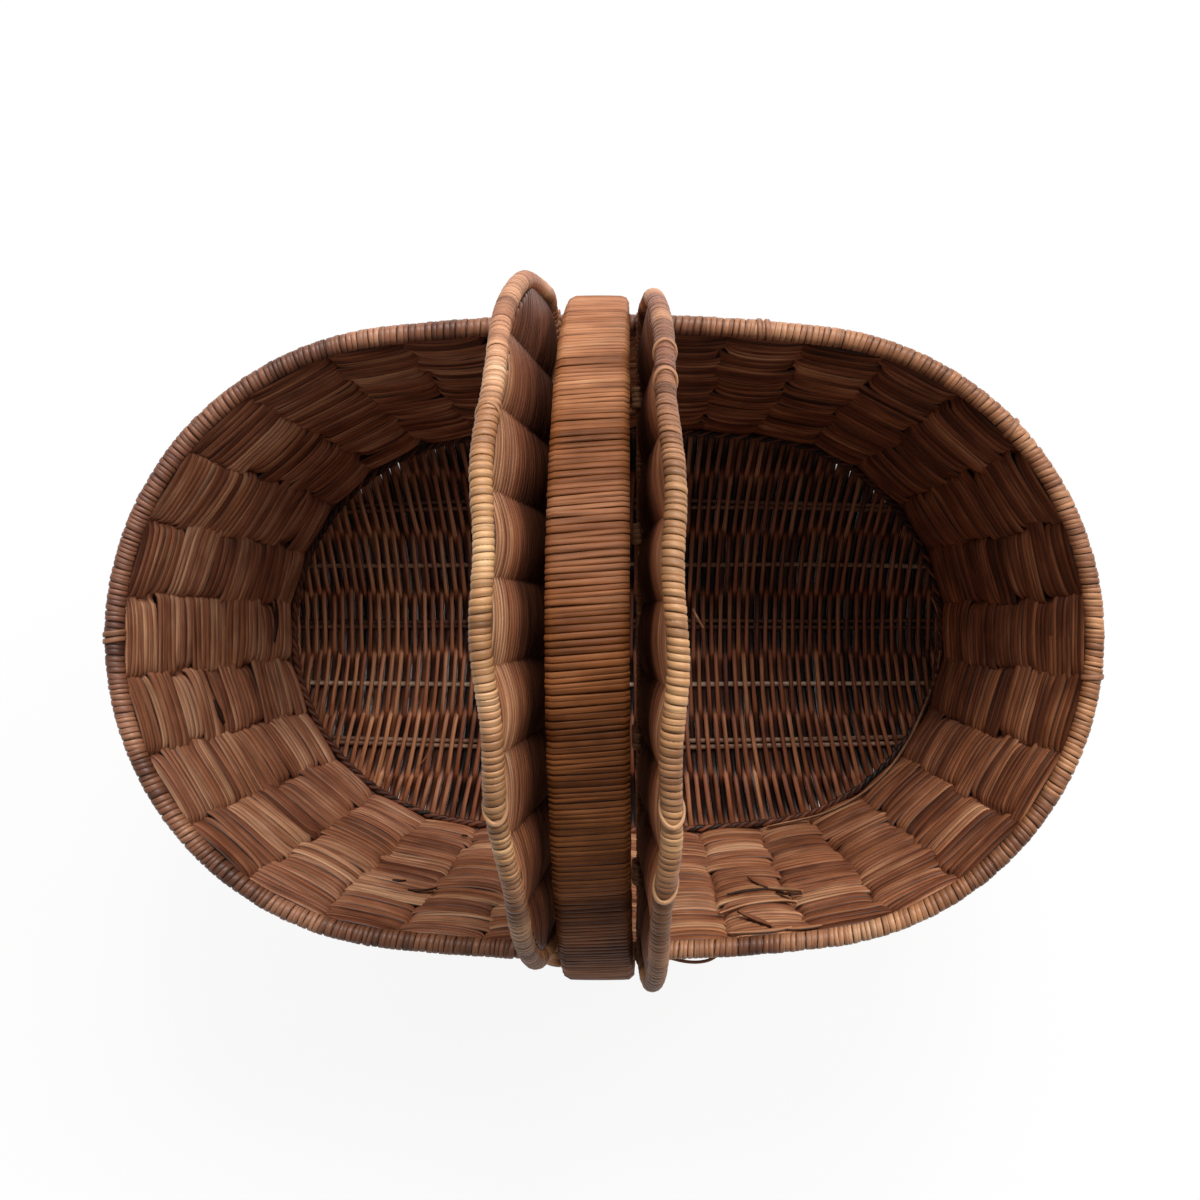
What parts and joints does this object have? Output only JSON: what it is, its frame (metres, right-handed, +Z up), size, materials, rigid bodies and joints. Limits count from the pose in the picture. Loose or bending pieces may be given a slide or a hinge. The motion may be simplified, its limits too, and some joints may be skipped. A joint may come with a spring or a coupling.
{
  "type": "picnic basket",
  "caption": "Oval woven picnic basket with a fixed arched handle across its middle and two D-shaped lids hinged beside the handle.",
  "frame": {"origin": "on the ground under the middle of the basket", "axes": "+X along the basket's long side, +Y along its short side in the plane of the handle, +Z up"},
  "size_m": [0.46, 0.3087, 0.4284],
  "materials": {
    "wall_weave": "oiled brown rattan strands, satin",
    "lid_weave": "oiled brown rattan strands, satin",
    "base_weave": "reddish brown rattan strands, satin",
    "base_stick": "pale rattan rod, matte",
    "rim_cane": "tan cane winding, satin",
    "handle_cane": "tan cane winding, satin",
    "lid_cane": "pale straw cane, satin",
    "bare_rattan": "peeled rattan rod, matte"
  },
  "bodies": {
    "basket": {"foot_border": "wall_weave", "stake_frame": "bare_rattan", "wall_weave": "wall_weave", "rim_hoop": "rim_cane", "base_weave": "base_weave", "base_stick_1": "base_stick", "base_stick_2": "base_stick", "base_stick_3": "base_stick", "base_stick_4": "base_stick", "base_stick_5": "base_stick", "base_stick_6": "base_stick", "base_stick_7": "base_stick", "base_stick_8": "base_stick", "handle_wrap": "handle_cane", "handle_rod_1": "bare_rattan", "handle_rod_2": "bare_rattan", "handle_rod_3": "bare_rattan", "handle_rod_4": "bare_rattan", "handle_rod_5": "bare_rattan", "hinge_bar_left": "lid_cane", "hinge_bar_right": "lid_cane"},
    "left_lid": {"left_lid_hoop": "lid_cane", "left_lid_weave": "lid_weave", "left_lid_rib_1": "bare_rattan", "left_lid_rib_2": "bare_rattan", "left_lid_rib_3": "bare_rattan", "left_lid_rib_4": "bare_rattan", "left_lid_rib_5": "bare_rattan", "left_lid_rib_6": "bare_rattan", "left_lid_rib_7": "bare_rattan", "left_lid_rib_8": "bare_rattan", "left_lid_rib_9": "bare_rattan", "left_lid_loop_1": "lid_cane", "left_lid_loop_2": "lid_cane", "left_lid_loop_3": "lid_cane", "left_lid_loop_4": "lid_cane"},
    "right_lid": {"right_lid_hoop": "lid_cane", "right_lid_weave": "lid_weave", "right_lid_rib_1": "bare_rattan", "right_lid_rib_2": "bare_rattan", "right_lid_rib_3": "bare_rattan", "right_lid_rib_4": "bare_rattan", "right_lid_rib_5": "bare_rattan", "right_lid_rib_6": "bare_rattan", "right_lid_rib_7": "bare_rattan", "right_lid_rib_8": "bare_rattan", "right_lid_rib_9": "bare_rattan", "right_lid_loop_1": "lid_cane", "right_lid_loop_2": "lid_cane", "right_lid_loop_3": "lid_cane", "right_lid_loop_4": "lid_cane"}
  },
  "joints": [
    {"name": "left_lid_hinge", "type": "hinge", "parent": "basket", "child": "left_lid", "pos_m": [-0.023, 0, 0.2178], "axis": [0, -1, 0], "range_deg": [-0.2, 85]},
    {"name": "right_lid_hinge", "type": "hinge", "parent": "basket", "child": "right_lid", "pos_m": [0.0185, 0, 0.2178], "axis": [0, 1, 0], "range_deg": [-2, 86]}
  ]
}
